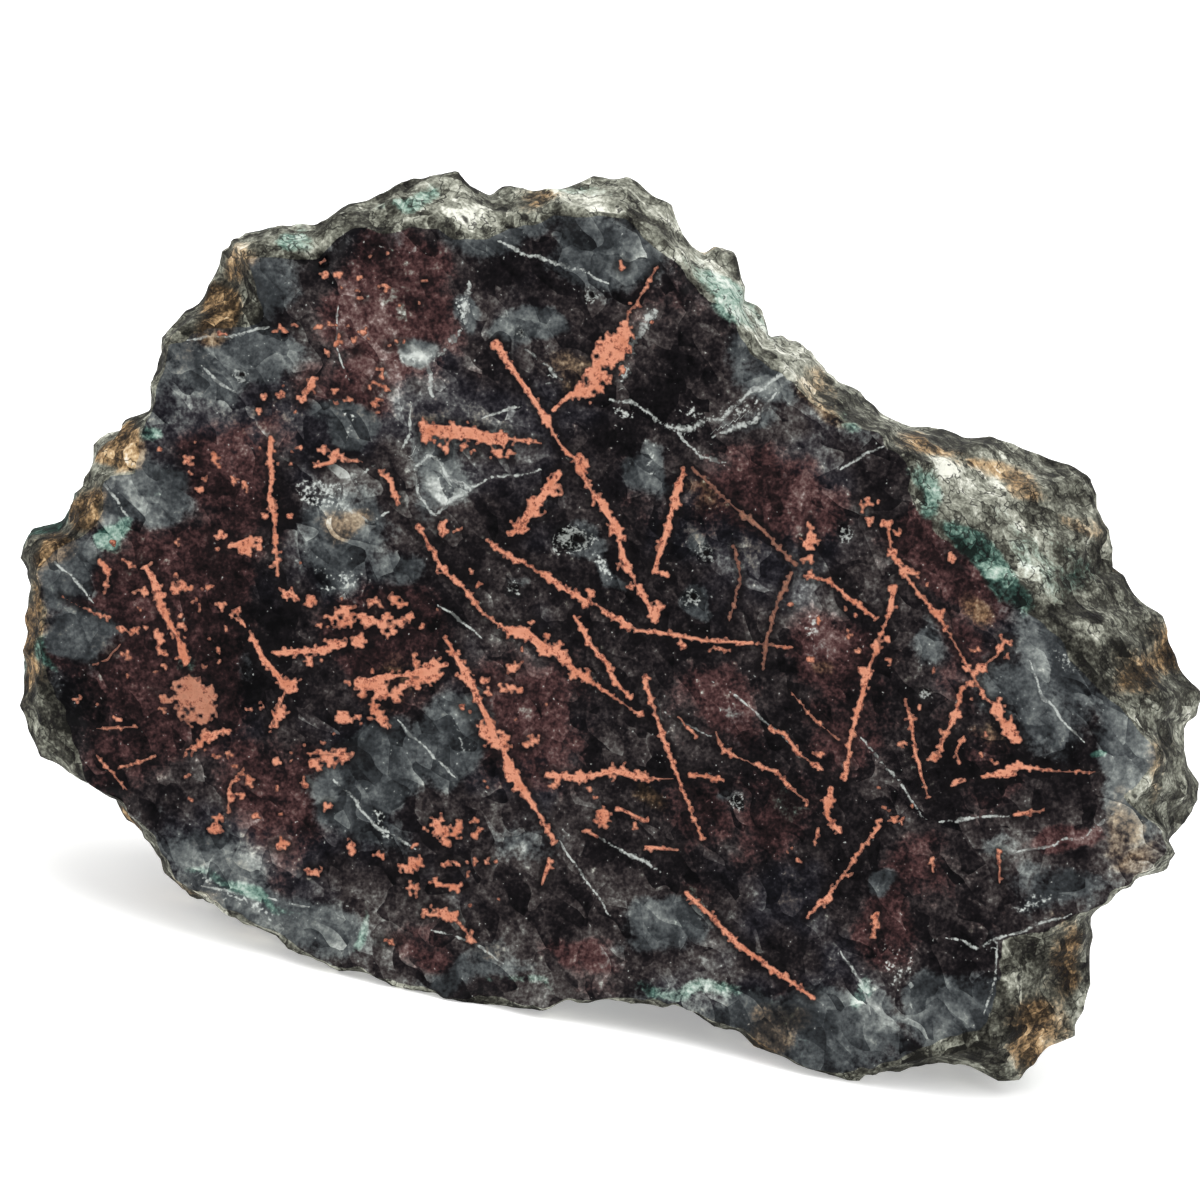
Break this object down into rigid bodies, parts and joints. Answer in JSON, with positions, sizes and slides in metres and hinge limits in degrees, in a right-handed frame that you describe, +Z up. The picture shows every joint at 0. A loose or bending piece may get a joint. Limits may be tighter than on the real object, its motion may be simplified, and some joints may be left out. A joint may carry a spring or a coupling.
{
  "type": "sawn chalcedony stone with native copper blades",
  "caption": "Rough dark chalcedony stone with one flat sawn face crossed by native copper blades, standing on its lower edge with the face leaning back",
  "frame": {"origin": "on the ground under the middle of the stone's bounding box", "axes": "+X along the stone's length, -Y the side of the sawn face, +Z up"},
  "size_m": [0.1196, 0.0445, 0.0786],
  "materials": {
    "stone": "sawn face with a soft wet gloss, rough matte rind",
    "copper": "native copper, dull and grainy on the sawn face"
  },
  "bodies": {
    "root": {"stone": "stone"}
  },
  "joints": []
}
